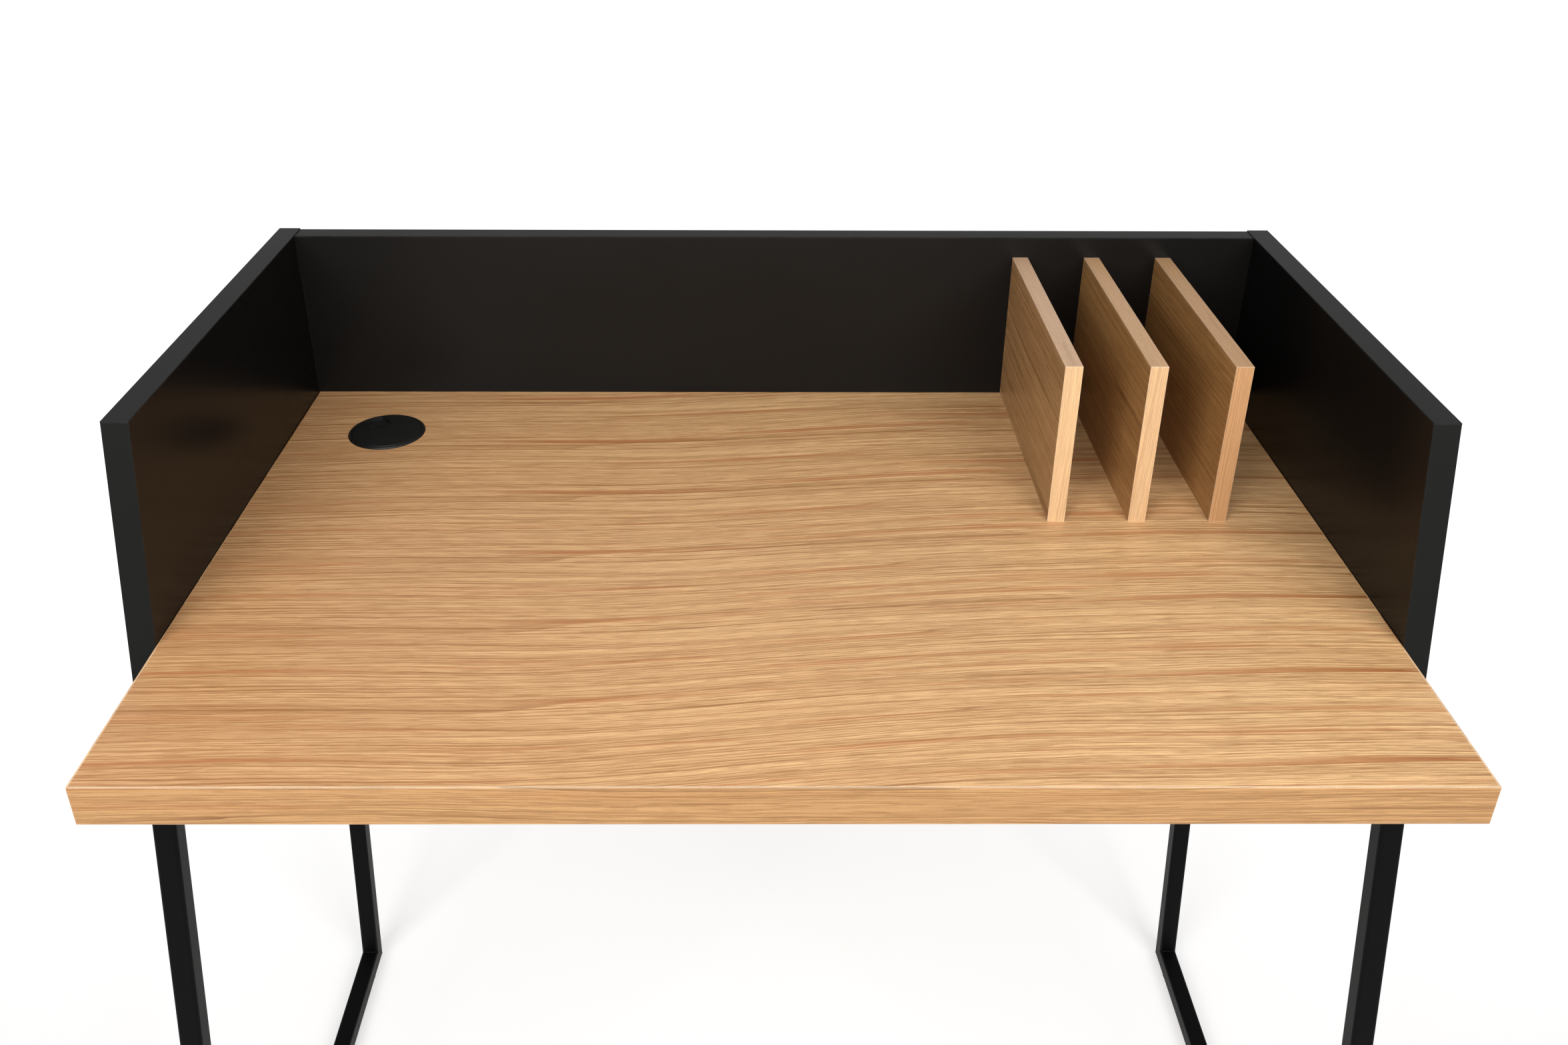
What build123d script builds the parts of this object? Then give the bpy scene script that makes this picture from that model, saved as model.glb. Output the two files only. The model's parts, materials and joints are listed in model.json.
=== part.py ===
from build123d import *

import os
from math import cos, radians, tan

# Desk with a low built-in hutch: an oak-veneered worktop held between two black side panels and a
# back panel, three upright oak dividers, a cable grommet, and two welded sled frames for legs.
# +X is to the right, +Y to the rear and +Z up. The origin is on the floor, under the middle of the
# whole desk. Millimetres and degrees.

# Overall
INNER_WIDTH = 1000.0            # between the side panels
DEPTH = 671.0                   # toe of the front foot to the rear of the panels
WORKTOP_HEIGHT = 760.0
HUTCH_HEIGHT = 180.0            # of the panels above the worktop
FRONT_SLANT = 13.0              # of the side panels' front edges and the front legs
BACK_LEG_SLANT = 9.5

# Boards
PANEL = 22.0
BACK_PANEL_DROP = 1.0           # top of the back panel below the tops of the side panels
WORKTOP = 34.0
WORKTOP_DEPTH = 640.0
JOINT_GAP = 0.3                 # worktop end to side panel
BAND = 1.0                      # edge banding
EASED_EDGE = 0.5
WORKTOP_EASED_EDGE = 0.8
DIVIDER = 16.0
DIVIDER_HEIGHT = 157.0
DIVIDER_DEPTH = 278.0
FIRST_DIVIDER_X = 250.0         # left face of the first divider
DIVIDER_PITCH = 75.0
DIVIDER_COUNT = 3

# Side frames and cross rails
TUBE = 20.0
WALL = 1.5
TUBE_RADIUS = 3.0
GLIDE_THICKNESS = 2.0
BACK_LEG_INSET = 2.0            # rear of the frame ahead of the rear of the panels
CROSS_RAIL_HEIGHT = 30.0
CROSS_RAIL_Y = (-100.0, 270.0)
PLATE = 4.0                     # end plates of the cross rails
PLATE_WIDTH = 70.0
PLATE_HEIGHT = 28.0
PLATE_BOLT_SPACING = 50.0

# Cable grommet
GROMMET_X = -403.0
GROMMET_Y = 215.0
GROMMET_HOLE_RADIUS = 34.0
FLANGE_RADIUS = 39.0
FLANGE_HEIGHT = 1.7
BARREL_RADIUS = 33.8
BORE_RADIUS = 31.5
BARREL_DEPTH = 28.0
SEAT_RADIUS = 35.3
SEAT_HEIGHT = 0.5
CAP_RADIUS = 35.0
CAP_TOP = 2.0                   # above the worktop
CAP_RIM_UNDERSIDE = 0.6
CAP_UNDERSIDE = 1.1
CABLE_SLOT_WIDTH = 26.0
CABLE_SLOT_REACH = 12.0         # inner end of the slot from the cap's centre
CABLE_SLOT_CORNER = 4.0
CABLE_SLOT_DIRECTION = 132.0
SHUTTER_TOP = 0.0
SHUTTER = 1.6
SHUTTER_WIDTH = 29.0
SHUTTER_REACH = 31.2
SHUTTER_HUB_RADIUS = 9.0
STUD_RADIUS = 3.0
STUD_CLEARANCE = 0.08

# Fasteners
CAM_RADIUS = 7.5
CAM_CLEARANCE = 0.05
CAM_DISTANCE = 34.0             # cam centre from the board's end
CAP_THICKNESS = 1.0             # plastic cover discs on the rear face
BOLT_INSERTION = 11.0           # bolts and dowels into the side panels
DOWEL_RADIUS = 4.0
DOWEL_LENGTH = 30.0
HOLE_CLEARANCE = 0.1
SCREW_RADIUS = 2.0
SCREW_POINT_RADIUS = 0.5
CAM_BOLT_THREAD_RADIUS = 2.5
SCREW_HEAD_RADIUS = 4.0
SCREW_HEAD_HEIGHT = 2.4

# Derived places
REAR = DEPTH / 2
PANEL_INNER_X = INNER_WIDTH / 2
PANEL_OUTER_X = PANEL_INNER_X + PANEL
PANEL_MID_X = PANEL_INNER_X + PANEL / 2
PANEL_BOTTOM = WORKTOP_HEIGHT - WORKTOP
PANEL_TOP = WORKTOP_HEIGHT + HUTCH_HEIGHT
BACK_PANEL_TOP = PANEL_TOP - BACK_PANEL_DROP
BACK_PANEL_MID_Y = REAR - PANEL / 2
WORKTOP_REAR = REAR - PANEL
WORKTOP_FRONT = WORKTOP_REAR - WORKTOP_DEPTH
WORKTOP_SIDE_X = PANEL_INNER_X - JOINT_GAP
WORKTOP_MID_Z = WORKTOP_HEIGHT - WORKTOP / 2
DIVIDER_FRONT = WORKTOP_REAR - DIVIDER_DEPTH
DIVIDER_TOP = WORKTOP_HEIGHT + DIVIDER_HEIGHT
DIVIDER_X = [FIRST_DIVIDER_X + DIVIDER / 2 + i * DIVIDER_PITCH for i in range(DIVIDER_COUNT)]
TUBE_MID_X = PANEL_OUTER_X - TUBE / 2
TUBE_INNER_X = PANEL_OUTER_X - TUBE
TOP_RAIL_BOTTOM = PANEL_BOTTOM - TUBE
CROSS_RAIL_BOTTOM = PANEL_BOTTOM - CROSS_RAIL_HEIGHT
CROSS_RAIL_END_X = TUBE_INNER_X - PLATE
BAND_ON_SLANT = BAND / cos(radians(FRONT_SLANT))
SIDES = {"left": -1, "right": 1}

LEFT = (-1, 0, 0)
RIGHT = (1, 0, 0)
BACKWARD = (0, 1, 0)
DOWN = (0, 0, -1)


def front_face(z):
    """Y of the slanted front line shared by side panel and front leg."""
    return -REAR + (z - GLIDE_THICKNESS) * tan(radians(FRONT_SLANT))


def rear_face(z):
    """Y of the back leg's rear face."""
    return REAR - BACK_LEG_INSET - (PANEL_BOTTOM - z) * tan(radians(BACK_LEG_SLANT))


def seats(points, facing):
    """Planes on a surface, facing out of it; holes and shanks run the other way."""
    return [Plane(origin=point, z_dir=facing) for point in points]


def side_seats(x, points):
    """The same (y, z) points on both sides, facing away from the middle."""
    right = seats([(x, y, z) for y, z in points], RIGHT)
    left = seats([(-x, y, z) for y, z in points], LEFT)
    return left + right


def drill(places, radius, depth):
    """Blind holes from their seats inwards."""
    with Locations(*places):
        Cylinder(radius, depth, align=(Align.CENTER, Align.CENTER, Align.MAX), mode=Mode.SUBTRACT)


def save(piece, name):
    piece.part.label = name
    export_step(piece.part, f"parts/{name}.step")


# Where the fasteners go
PANEL_SCREW_Y = (-30.0, 115.0, 220.0)
PANEL_SCREW_LENGTH = 50.0
WORKTOP_SCREW_X = (-300.0, 0.0, 300.0)
WORKTOP_SCREW_LENGTH = 50.0
DIVIDER_SCREW_Y = (85.0, 215.0)
DIVIDER_SCREW_LENGTH = 70.0
DIVIDER_DOWEL_Z = 870.0
DOWEL_IN_BACK_PANEL = 12.0
BACK_CAM_Z = (775.0, 908.0)
BACK_CAM_DEPTH = 14.0
BACK_DOWEL_Z = (810.0, 870.0)
WORKTOP_CAM_Y = (-140.0, 85.0, 235.0)
WORKTOP_CAM_DEPTH = 23.0
WORKTOP_DOWEL_Y = (-70.0, 150.0)
BACK_SCREW_X = (-420.0, -140.0, 140.0, 420.0)
BACK_SCREW_LENGTH = 50.0
BACK_SCREW_RADIUS = 3.4
BACK_SCREW_HEAD_RADIUS = 5.0
BACK_SCREW_CAP_RADIUS = 6.0
BOLT_RADIUS = 3.0
BOLT_LENGTH = 14.0
RIVET_NUT_RADIUS = 4.5
GLIDE_Y = (-295.0, 175.0)
GLIDE_RADIUS = 9.0
GLIDE_PEG_RADIUS = 3.0

PANEL_SCREW_SEATS = seats(
    [(side * PANEL_MID_X, y, TOP_RAIL_BOTTOM) for side in (-1, 1) for y in PANEL_SCREW_Y], DOWN)
WORKTOP_SCREW_SEATS = seats(
    [(x, y, CROSS_RAIL_BOTTOM) for y in CROSS_RAIL_Y for x in WORKTOP_SCREW_X], DOWN)
DIVIDER_SCREW_SEATS = seats([(x, y, PANEL_BOTTOM) for x in DIVIDER_X for y in DIVIDER_SCREW_Y], DOWN)
DIVIDER_DOWEL_SEATS = seats(
    [(x, WORKTOP_REAR + DOWEL_IN_BACK_PANEL, DIVIDER_DOWEL_Z) for x in DIVIDER_X], BACKWARD)
BACK_CAM_X = PANEL_INNER_X - CAM_DISTANCE
BACK_CAM_SEATS = seats([(s * BACK_CAM_X, REAR, z) for s in (-1, 1) for z in BACK_CAM_Z], BACKWARD)
BACK_BOLT_SEATS = side_seats(PANEL_INNER_X + BOLT_INSERTION, [(BACK_PANEL_MID_Y, z) for z in BACK_CAM_Z])
BACK_DOWEL_SEATS = side_seats(PANEL_INNER_X + BOLT_INSERTION, [(BACK_PANEL_MID_Y, z) for z in BACK_DOWEL_Z])
WORKTOP_CAM_SEATS = seats([(s * BACK_CAM_X, y, PANEL_BOTTOM) for s in (-1, 1) for y in WORKTOP_CAM_Y], DOWN)
WORKTOP_BOLT_SEATS = side_seats(PANEL_INNER_X + BOLT_INSERTION, [(y, WORKTOP_MID_Z) for y in WORKTOP_CAM_Y])
WORKTOP_DOWEL_SEATS = side_seats(
    PANEL_INNER_X + BOLT_INSERTION, [(y, WORKTOP_MID_Z) for y in WORKTOP_DOWEL_Y])
BACK_SCREW_SEATS = seats([(x, REAR - CAP_THICKNESS, WORKTOP_MID_Z) for x in BACK_SCREW_X], BACKWARD)
BACK_SCREW_CAP_SEATS = seats([(x, REAR, WORKTOP_MID_Z) for x in BACK_SCREW_X], BACKWARD)
PLATE_BOLT_Y = [y + side * PLATE_BOLT_SPACING / 2 for y in CROSS_RAIL_Y for side in (-1, 1)]
PLATE_BOLT_Z = PANEL_BOTTOM - TUBE / 2
BOLT_SEATS = (seats([(-CROSS_RAIL_END_X, y, PLATE_BOLT_Z) for y in PLATE_BOLT_Y], RIGHT)
              + seats([(CROSS_RAIL_END_X, y, PLATE_BOLT_Z) for y in PLATE_BOLT_Y], LEFT))
RIVET_NUT_SEATS = (seats([(-TUBE_INNER_X, y, PLATE_BOLT_Z) for y in PLATE_BOLT_Y], RIGHT)
                   + seats([(TUBE_INNER_X, y, PLATE_BOLT_Z) for y in PLATE_BOLT_Y], LEFT))
GLIDE_SEATS = seats([(s * TUBE_MID_X, y, GLIDE_THICKNESS) for s in (-1, 1) for y in GLIDE_Y], DOWN)
CAM_BOLT_LENGTH = BOLT_INSERTION + CAM_DISTANCE


def board_on_side(side, outline):
    """A side-panel piece: an outline in (y, z) as thick as the panel."""
    inner_face = Plane.YZ.offset(PANEL_INNER_X if side > 0 else -PANEL_OUTER_X)
    with BuildPart() as piece:
        with BuildSketch(inner_face):
            with BuildLine():
                Polyline(*outline, close=True)
            make_face()
        extrude(amount=PANEL)
    return piece


def side_panel(side):
    top = PANEL_TOP - BAND
    panel = board_on_side(side, [
        (front_face(PANEL_BOTTOM) + BAND_ON_SLANT, PANEL_BOTTOM),
        (REAR - BAND, PANEL_BOTTOM),
        (REAR - BAND, top),
        (front_face(top) + BAND_ON_SLANT, top)])
    with panel:
        drill(PANEL_SCREW_SEATS, SCREW_RADIUS + HOLE_CLEARANCE, PANEL_SCREW_LENGTH + 1)
        drill(BACK_BOLT_SEATS + WORKTOP_BOLT_SEATS, CAM_BOLT_THREAD_RADIUS + HOLE_CLEARANCE, BOLT_INSERTION)
        drill(BACK_DOWEL_SEATS + WORKTOP_DOWEL_SEATS, DOWEL_RADIUS + HOLE_CLEARANCE, BOLT_INSERTION)
    return panel


def front_band(side):
    top = PANEL_TOP - BAND
    band = board_on_side(side, [
        (front_face(PANEL_BOTTOM), PANEL_BOTTOM),
        (front_face(PANEL_BOTTOM) + BAND_ON_SLANT, PANEL_BOTTOM),
        (front_face(top) + BAND_ON_SLANT, top),
        (front_face(top), top)])
    with band:
        fillet(band.edges().group_by(SortBy.LENGTH)[-1].sort_by(Axis.Y)[:2], EASED_EDGE)
    return band


def top_band(side):
    top = PANEL_TOP - BAND
    band = board_on_side(side, [
        (front_face(top), top), (REAR, top), (REAR, PANEL_TOP), (front_face(PANEL_TOP), PANEL_TOP)])
    with band:
        fillet(band.edges().filter_by(Axis.Y).group_by(Axis.Z)[-1], EASED_EDGE)
    return band


def rear_band(side):
    top = PANEL_TOP - BAND
    band = board_on_side(side, [
        (REAR - BAND, PANEL_BOTTOM), (REAR, PANEL_BOTTOM), (REAR, top), (REAR - BAND, top)])
    with band:
        fillet(band.edges().filter_by(Axis.Z).group_by(Axis.Y)[-1], EASED_EDGE)
    return band


def block(x, y, z):
    """A box from its three (low, high) ranges."""
    with BuildPart() as piece:
        with BuildSketch(Plane.XY.offset(z[0])):
            with Locations(((x[0] + x[1]) / 2, (y[0] + y[1]) / 2)):
                Rectangle(x[1] - x[0], y[1] - y[0])
        extrude(amount=z[1] - z[0])
    return piece


def back_panel():
    panel = block((-PANEL_INNER_X, PANEL_INNER_X), (WORKTOP_REAR, REAR), (PANEL_BOTTOM, BACK_PANEL_TOP - BAND))
    with panel:
        drill(BACK_CAM_SEATS, CAM_RADIUS, BACK_CAM_DEPTH + HOLE_CLEARANCE)
        drill(BACK_BOLT_SEATS, DOWEL_RADIUS + HOLE_CLEARANCE, CAM_BOLT_LENGTH)
        drill(BACK_DOWEL_SEATS, DOWEL_RADIUS + HOLE_CLEARANCE, DOWEL_LENGTH)
        drill(DIVIDER_DOWEL_SEATS, DOWEL_RADIUS + HOLE_CLEARANCE, DOWEL_IN_BACK_PANEL)
        drill(BACK_SCREW_CAP_SEATS, BACK_SCREW_CAP_RADIUS, CAP_THICKNESS)
        with Locations(*BACK_SCREW_SEATS):
            CounterSinkHole(BACK_SCREW_RADIUS + HOLE_CLEARANCE, BACK_SCREW_HEAD_RADIUS + HOLE_CLEARANCE,
                            depth=BACK_SCREW_LENGTH, counter_sink_angle=90)
    return panel


def back_top_band():
    band = block((-PANEL_INNER_X, PANEL_INNER_X), (WORKTOP_REAR, REAR), (BACK_PANEL_TOP - BAND, BACK_PANEL_TOP))
    with band:
        fillet(band.edges().filter_by(Axis.X).group_by(Axis.Z)[-1], EASED_EDGE)
    return band


def drill_worktop():
    """All the holes in the worktop and its side bands."""
    with Locations((GROMMET_X, GROMMET_Y, WORKTOP_HEIGHT)):
        Hole(radius=GROMMET_HOLE_RADIUS, depth=WORKTOP)
    drill(WORKTOP_SCREW_SEATS, SCREW_RADIUS + HOLE_CLEARANCE, WORKTOP_SCREW_LENGTH + 1)
    with Locations(*DIVIDER_SCREW_SEATS):
        CounterSinkHole(SCREW_RADIUS + HOLE_CLEARANCE, SCREW_HEAD_RADIUS + HOLE_CLEARANCE,
                        depth=WORKTOP, counter_sink_angle=90)
    drill(WORKTOP_CAM_SEATS, CAM_RADIUS, WORKTOP_CAM_DEPTH + HOLE_CLEARANCE)
    drill(WORKTOP_BOLT_SEATS, DOWEL_RADIUS + HOLE_CLEARANCE, CAM_BOLT_LENGTH)
    drill(WORKTOP_DOWEL_SEATS, DOWEL_RADIUS + HOLE_CLEARANCE, DOWEL_LENGTH)
    drill(BACK_SCREW_SEATS, BACK_SCREW_RADIUS + HOLE_CLEARANCE, BACK_SCREW_LENGTH)


def worktop():
    side = WORKTOP_SIDE_X - BAND
    top = block((-side, side), (WORKTOP_FRONT + BAND, WORKTOP_REAR), (PANEL_BOTTOM, WORKTOP_HEIGHT))
    with top:
        drill_worktop()
    return top


def worktop_side_band(side):
    outer = side * WORKTOP_SIDE_X
    inner = outer - side * BAND
    band = block(sorted((inner, outer)), (WORKTOP_FRONT + BAND, WORKTOP_REAR), (PANEL_BOTTOM, WORKTOP_HEIGHT))
    with band:
        fillet(band.edges().filter_by(Axis.Y).sort_by(Axis((0, 0, 0), (side, 0, 0)))[-2:], EASED_EDGE)
        drill(WORKTOP_BOLT_SEATS, DOWEL_RADIUS + HOLE_CLEARANCE, CAM_BOLT_LENGTH)
        drill(WORKTOP_DOWEL_SEATS, DOWEL_RADIUS + HOLE_CLEARANCE, DOWEL_LENGTH)
    return band


def worktop_front_band():
    band = block((-WORKTOP_SIDE_X, WORKTOP_SIDE_X), (WORKTOP_FRONT, WORKTOP_FRONT + BAND),
                 (PANEL_BOTTOM, WORKTOP_HEIGHT))
    with band:
        fillet(band.edges().filter_by(Axis.X).group_by(Axis.Y)[0], WORKTOP_EASED_EDGE)
        fillet(band.edges().filter_by(Axis.Z).group_by(Axis.Y)[0], EASED_EDGE)
    return band


def divider(x):
    board = block((x - DIVIDER / 2, x + DIVIDER / 2), (DIVIDER_FRONT + BAND, WORKTOP_REAR),
                  (WORKTOP_HEIGHT, DIVIDER_TOP - BAND))
    with board:
        drill(DIVIDER_SCREW_SEATS, SCREW_RADIUS + HOLE_CLEARANCE, DIVIDER_SCREW_LENGTH + 1)
        drill(DIVIDER_DOWEL_SEATS, DOWEL_RADIUS + HOLE_CLEARANCE, DOWEL_LENGTH)
    return board


def divider_front_band(x):
    band = block((x - DIVIDER / 2, x + DIVIDER / 2), (DIVIDER_FRONT, DIVIDER_FRONT + BAND),
                 (WORKTOP_HEIGHT, DIVIDER_TOP))
    with band:
        fillet(band.edges().filter_by(Axis.Z).group_by(Axis.Y)[0], EASED_EDGE)
        fillet(band.edges().filter_by(Axis.X).group_by(Axis.Z)[-1].sort_by(Axis.Y)[0], EASED_EDGE)
    return band


def divider_top_band(x):
    band = block((x - DIVIDER / 2, x + DIVIDER / 2), (DIVIDER_FRONT + BAND, WORKTOP_REAR),
                 (DIVIDER_TOP - BAND, DIVIDER_TOP))
    with band:
        fillet(band.edges().filter_by(Axis.Y).group_by(Axis.Z)[-1], EASED_EDGE)
    return band


def frame_corners(inset):
    """A side frame's corners in (y, z), moved in from its outer faces: foot toe, front top, rear
    top, foot heel."""
    low = GLIDE_THICKNESS + inset
    high = PANEL_BOTTOM - inset
    front_inset = inset / cos(radians(FRONT_SLANT))
    rear_inset = inset / cos(radians(BACK_LEG_SLANT))
    return [(front_face(low) + front_inset, low), (front_face(high) + front_inset, high),
            (rear_face(high) - rear_inset, high), (rear_face(low) - rear_inset, low)]


FRAME_MEMBERS = ("front_leg", "top_rail", "back_leg", "runner")
MEMBER_HOLES = {
    "top_rail": [(PANEL_SCREW_SEATS, SCREW_RADIUS + HOLE_CLEARANCE, PANEL_SCREW_LENGTH),
                 (RIVET_NUT_SEATS, RIVET_NUT_RADIUS + HOLE_CLEARANCE, 2 * WALL)],
    "runner": [(GLIDE_SEATS, GLIDE_PEG_RADIUS + HOLE_CLEARANCE, 2 * WALL)],
}


def frame_tube(member, side):
    """One square tube of a side frame, mitred where it meets the next ones."""
    first = FRAME_MEMBERS.index(member)
    corners = frame_corners(TUBE / 2)
    before, start, end, after = [
        Vector(side * TUBE_MID_X, *corners[(first + step) % len(corners)]) for step in (-1, 0, 1, 2)]
    along = (end - start).normalized()
    start_mitre = Plane(origin=start, z_dir=along - (before - start).normalized())
    end_mitre = Plane(origin=end, z_dir=-along - (after - end).normalized())
    with BuildPart() as tube:
        with BuildSketch(Plane(origin=start - along * TUBE, x_dir=RIGHT, z_dir=along)):
            RectangleRounded(TUBE, TUBE, TUBE_RADIUS)
            RectangleRounded(TUBE - 2 * WALL, TUBE - 2 * WALL, TUBE_RADIUS - WALL, mode=Mode.SUBTRACT)
        extrude(amount=(end - start).length + 2 * TUBE)
        split(bisect_by=start_mitre, keep=Keep.TOP)
        split(bisect_by=end_mitre, keep=Keep.TOP)
        for places, radius, depth in MEMBER_HOLES.get(member, []):
            drill(places, radius, depth)
    return tube


def cross_rail(y):
    middle = (-CROSS_RAIL_END_X, y, PANEL_BOTTOM - CROSS_RAIL_HEIGHT / 2)
    with BuildPart() as rail:
        with BuildSketch(Plane(origin=middle, x_dir=BACKWARD, z_dir=RIGHT)):
            RectangleRounded(TUBE, CROSS_RAIL_HEIGHT, TUBE_RADIUS)
            RectangleRounded(TUBE - 2 * WALL, CROSS_RAIL_HEIGHT - 2 * WALL, TUBE_RADIUS - WALL,
                             mode=Mode.SUBTRACT)
        extrude(amount=2 * CROSS_RAIL_END_X)
        drill(WORKTOP_SCREW_SEATS, SCREW_RADIUS + HOLE_CLEARANCE, WORKTOP_SCREW_LENGTH)
    return rail


def cross_rail_end_plates():
    with BuildPart() as plates:
        with Locations(*[(s * (TUBE_INNER_X - PLATE / 2), y, PANEL_BOTTOM - PLATE_HEIGHT / 2)
                         for s in (-1, 1) for y in CROSS_RAIL_Y]):
            Box(PLATE, PLATE_WIDTH, PLATE_HEIGHT)
        fillet(plates.edges().filter_by(Axis.X), TUBE_RADIUS)
        drill(BOLT_SEATS, BOLT_RADIUS + HOLE_CLEARANCE, PLATE)
    return plates


def upward(height, radius, places, bottom=0.0, top_radius=None, mode=Mode.ADD):
    """A round piece on each seat, rising from bottom above the seat."""
    align = (Align.CENTER, Align.CENTER, Align.MIN)
    with Locations(*[place.offset(bottom) for place in places]):
        if top_radius is None:
            Cylinder(radius, height, align=align, mode=mode)
        else:
            Cone(radius, top_radius, height, align=align, mode=mode)


def wood_screws(places, length, countersunk):
    """Cross-recessed wood screws; a pan head stands on its seat, a countersunk one is flush."""
    tip = 2 * SCREW_RADIUS
    with BuildPart() as screws:
        upward(length - tip, SCREW_RADIUS, places, tip - length)
        upward(tip, SCREW_POINT_RADIUS, places, -length, SCREW_RADIUS)
        if countersunk:
            sink = SCREW_HEAD_RADIUS - SCREW_RADIUS
            upward(sink, SCREW_RADIUS, places, -sink, SCREW_HEAD_RADIUS)
            top = 0.0
        else:
            upward(SCREW_HEAD_HEIGHT, SCREW_HEAD_RADIUS, places)
            top = SCREW_HEAD_HEIGHT
            fillet(screws.edges().filter_by(GeomType.CIRCLE).filter_by(
                lambda edge: abs(edge.radius - SCREW_HEAD_RADIUS) < 0.01 and
                min(abs(place.to_local_coords(edge.center()).Z - top) for place in places) < 0.01),
                SCREW_HEAD_HEIGHT / 2)
        cross_recess(places, top, SCREW_RADIUS)
    return screws


def cross_recess(places, top, reach):
    """A driver cross, cut down from top."""
    slot = reach / 2
    with Locations(*[place.offset(top) for place in places]):
        Box(2 * reach, slot, reach, mode=Mode.SUBTRACT)
        Box(slot, 2 * reach, reach, mode=Mode.SUBTRACT)


def back_panel_screws():
    """Stepped furniture screws from the rear face into the worktop's rear edge."""
    sink = BACK_SCREW_HEAD_RADIUS - BACK_SCREW_RADIUS
    tip = 2.4
    end = 1.0 - BACK_SCREW_LENGTH
    with BuildPart() as screws:
        upward(-end - tip, BACK_SCREW_RADIUS, BACK_SCREW_SEATS, end + tip)
        upward(tip, SCREW_POINT_RADIUS, BACK_SCREW_SEATS, end, BACK_SCREW_RADIUS)
        upward(sink, BACK_SCREW_RADIUS, BACK_SCREW_SEATS, -sink, BACK_SCREW_HEAD_RADIUS)
        for place in BACK_SCREW_SEATS:
            with BuildSketch(place):
                RegularPolygon(2, 6, major_radius=False)
        extrude(amount=-sink, mode=Mode.SUBTRACT)
    return screws


def cams(places, top, depth, bolt_places):
    """Cam housings: discs with a driver cross in the face and a pocket for the bolt's head."""
    with BuildPart() as housings:
        upward(depth, CAM_RADIUS - CAM_CLEARANCE, places, top - depth)
        cross_recess(places, top, CAM_RADIUS / 2)
        drill(bolt_places, DOWEL_RADIUS, CAM_BOLT_LENGTH + 1)
    return housings


def cam_bolts(places):
    """Bolts screwed into the side panels, whose heads sit in the cams."""
    neck = 6.0
    with BuildPart() as bolts:
        upward(BOLT_INSERTION, CAM_BOLT_THREAD_RADIUS, places, -BOLT_INSERTION)
        upward(CAM_BOLT_LENGTH - BOLT_INSERTION - neck, BOLT_RADIUS, places, neck - CAM_BOLT_LENGTH)
        upward(neck, SCREW_RADIUS, places, -CAM_BOLT_LENGTH)
        upward(neck / 3, DOWEL_RADIUS - HOLE_CLEARANCE, places, -CAM_BOLT_LENGTH)
    return bolts


def dowels(places):
    with BuildPart() as pins:
        upward(DOWEL_LENGTH, DOWEL_RADIUS, places, -DOWEL_LENGTH)
        chamfer(pins.edges().filter_by(GeomType.CIRCLE), DOWEL_RADIUS / 5)
    return pins


def cover_discs(places, radius):
    with BuildPart() as discs:
        upward(CAP_THICKNESS, radius - CAM_CLEARANCE, places, -CAP_THICKNESS)
    return discs


def rail_bolts():
    """Button-head bolts that hold the end plates to the top rails."""
    head_radius = 5.25
    head_height = 3.3
    socket = 2.0
    with BuildPart() as bolts:
        upward(BOLT_LENGTH, BOLT_RADIUS - HOLE_CLEARANCE, BOLT_SEATS, -BOLT_LENGTH)
        upward(head_height, head_radius, BOLT_SEATS, 0, head_radius * 0.6)
        for place in BOLT_SEATS:
            with BuildSketch(place.offset(head_height)):
                RegularPolygon(socket, 6, major_radius=False)
        extrude(amount=-socket, mode=Mode.SUBTRACT)
    return bolts


def rivet_nuts():
    """Threaded inserts set in the top rails' inner walls."""
    length = 12.0
    bulge = 2.5
    with BuildPart() as nuts:
        upward(length, RIVET_NUT_RADIUS, RIVET_NUT_SEATS, -length)
        upward(bulge, RIVET_NUT_RADIUS + 1, RIVET_NUT_SEATS, -WALL - bulge)
        upward(length, BOLT_RADIUS, RIVET_NUT_SEATS, -length, mode=Mode.SUBTRACT)
    return nuts


def glide(side, y):
    peg_length = 10.0
    seat = seats([(side * TUBE_MID_X, y, 0)], (0, 0, 1))
    with BuildPart() as foot:
        upward(GLIDE_THICKNESS, GLIDE_RADIUS, seat)
        fillet(foot.edges().filter_by(GeomType.CIRCLE).group_by(Axis.Z)[0], GLIDE_THICKNESS / 3)
        upward(peg_length, GLIDE_PEG_RADIUS, seat, GLIDE_THICKNESS)
    return foot


GROMMET_AXIS = Axis((GROMMET_X, GROMMET_Y, 0), (0, 0, 1))
GROMMET_TOP = Plane(origin=(GROMMET_X, GROMMET_Y, WORKTOP_HEIGHT),
                    x_dir=Vector(1, 0, 0).rotate(Axis.Z, CABLE_SLOT_DIRECTION), z_dir=(0, 0, 1))
GROMMET_SECTION = Plane(origin=(GROMMET_X, GROMMET_Y, WORKTOP_HEIGHT), x_dir=RIGHT, z_dir=(0, -1, 0))


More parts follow.
